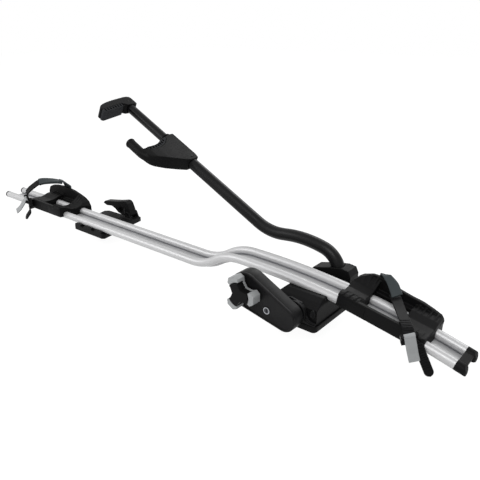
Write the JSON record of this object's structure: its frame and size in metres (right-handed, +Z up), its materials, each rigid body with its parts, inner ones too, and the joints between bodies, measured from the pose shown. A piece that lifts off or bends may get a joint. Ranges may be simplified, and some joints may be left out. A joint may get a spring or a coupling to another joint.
{
  "type": "roof mounted bike carrier",
  "caption": "Upright roof bar bicycle carrier: twin-tube alloy rail, folding black frame-clamp arm with sliding jaw, grey tightening knob and strapped wheel trays.",
  "frame": {"origin": "on the top plane of the roof bars, under the arm's shaft, in the rail's middle plane", "axes": "+X along the rail to the front of the car, +Y to the arm's side, +Z up"},
  "size_m": [1.4686, 0.2663, 0.3918],
  "materials": {
    "satin_alloy": "satin anodised",
    "black_tube": "satin powder coat",
    "black_moulding": "fine grain moulded",
    "charcoal_moulding": "smooth satin moulded",
    "grey_moulding": "fine grain moulded",
    "slate_moulding": "smooth moulded",
    "natural_moulding": "smooth moulded",
    "black_strap": "ridged strap",
    "black_rubber": "matt",
    "jaw_rubber": "matt",
    "bright_steel": "zinc plated",
    "lock_steel": "dark satin",
    "black_steel": "black oxide"
  },
  "bodies": {
    "rail": {"rail": "satin_alloy", "rail_front_cap": "black_moulding", "rail_rear_caps": "black_moulding", "rail_bolts": "bright_steel", "rail_nuts": "bright_steel", "base_foot": "black_moulding", "base_pad": "black_rubber", "base_housing": "black_moulding", "base_cover": "charcoal_moulding", "base_plug": "charcoal_moulding", "shaft_bushes": "natural_moulding", "front_tray": "black_moulding", "front_plate": "black_moulding", "front_strap": "black_strap", "front_strap_clip": "slate_moulding", "front_buckle": "black_moulding", "front_buckle_pin": "black_steel"},
    "arm": {"arm_shaft": "bright_steel", "arm_hub": "black_moulding", "arm_tube": "black_tube", "arm_guide": "black_moulding", "lower_jaw": "black_moulding", "lower_jaw_pad": "jaw_rubber", "lower_jaw_screws": "black_steel", "knob_housing": "charcoal_moulding", "knob_cover": "charcoal_moulding", "lock_bezel": "bright_steel"},
    "lock": {"lock_barrel": "lock_steel"},
    "knob": {"knob_spindle": "bright_steel", "wire_drum": "natural_moulding", "knob_body": "grey_moulding", "knob_insert": "black_moulding"},
    "upper_jaw": {"inner_tube": "black_tube", "inner_plug": "bright_steel", "pull_wire": "bright_steel", "upper_jaw": "black_moulding", "upper_jaw_pad": "jaw_rubber", "upper_jaw_pin": "black_steel"},
    "front_lever": {"front_buckle_lever": "grey_moulding"},
    "rear_tray": {"rear_tray": "black_moulding", "rear_plate": "black_moulding", "rear_strap": "black_strap", "rear_strap_pad": "slate_moulding", "rear_strap_clip": "slate_moulding", "rear_buckle": "black_moulding", "rear_buckle_pin": "black_steel"},
    "rear_lever": {"rear_buckle_lever": "grey_moulding"},
    "rear_foot": {"rear_foot": "black_moulding", "rear_foot_pads": "black_rubber", "rear_foot_bolt": "bright_steel", "rear_foot_nut": "bright_steel", "clamp_pin": "black_steel"},
    "clamp": {"clamp_lever": "black_moulding"}
  },
  "joints": [
    {"name": "arm_fold", "type": "hinge", "parent": "rail", "child": "arm", "pos_m": [0, 0, 0.032], "axis": [0, 1, 0], "range_deg": [-20, 48]},
    {"name": "knob_turn", "type": "hinge", "parent": "arm", "child": "knob", "pos_m": [-0.09, -0.122, 0.063], "axis": [0, 1, 0], "range_deg": [0, 450]},
    {"name": "jaw_slide", "type": "slide", "parent": "arm", "child": "upper_jaw", "axis": [-0.891, 0, 0.454], "range_m": [-0.106, 0]},
    {"name": "lock_turn", "type": "hinge", "parent": "arm", "child": "lock", "pos_m": [-0.03881, -0.122, 0.03754], "axis": [0, 1, 0], "range_deg": [0, 90]},
    {"name": "front_lever_turn", "type": "hinge", "parent": "rail", "child": "front_lever", "pos_m": [0.2174, -0.06475, 0.05674], "axis": [-0.7721, -0.5749, -0.2708], "range_deg": [0, 100]},
    {"name": "rear_tray_slide", "type": "slide", "parent": "rail", "child": "rear_tray", "axis": [1, 0, 0], "range_m": [-0.09, 0.01]},
    {"name": "rear_lever_turn", "type": "hinge", "parent": "rear_tray", "child": "rear_lever", "pos_m": [-0.98355, -0.06302, 0.052], "axis": [-0.8346, 0.3716, 0.4067], "range_deg": [-28, 72]},
    {"name": "rear_foot_slide", "type": "slide", "parent": "rail", "child": "rear_foot", "axis": [1, 0, 0], "range_m": [0, 0.18]},
    {"name": "clamp_turn", "type": "hinge", "parent": "rear_foot", "child": "clamp", "pos_m": [-0.698, 0.1, 0.026], "axis": [0, 1, 0], "range_deg": [0, 95]}
  ],
  "couplings": [
    {"joint": "knob_turn", "follows": "jaw_slide", "rad_per_m": -74}
  ]
}
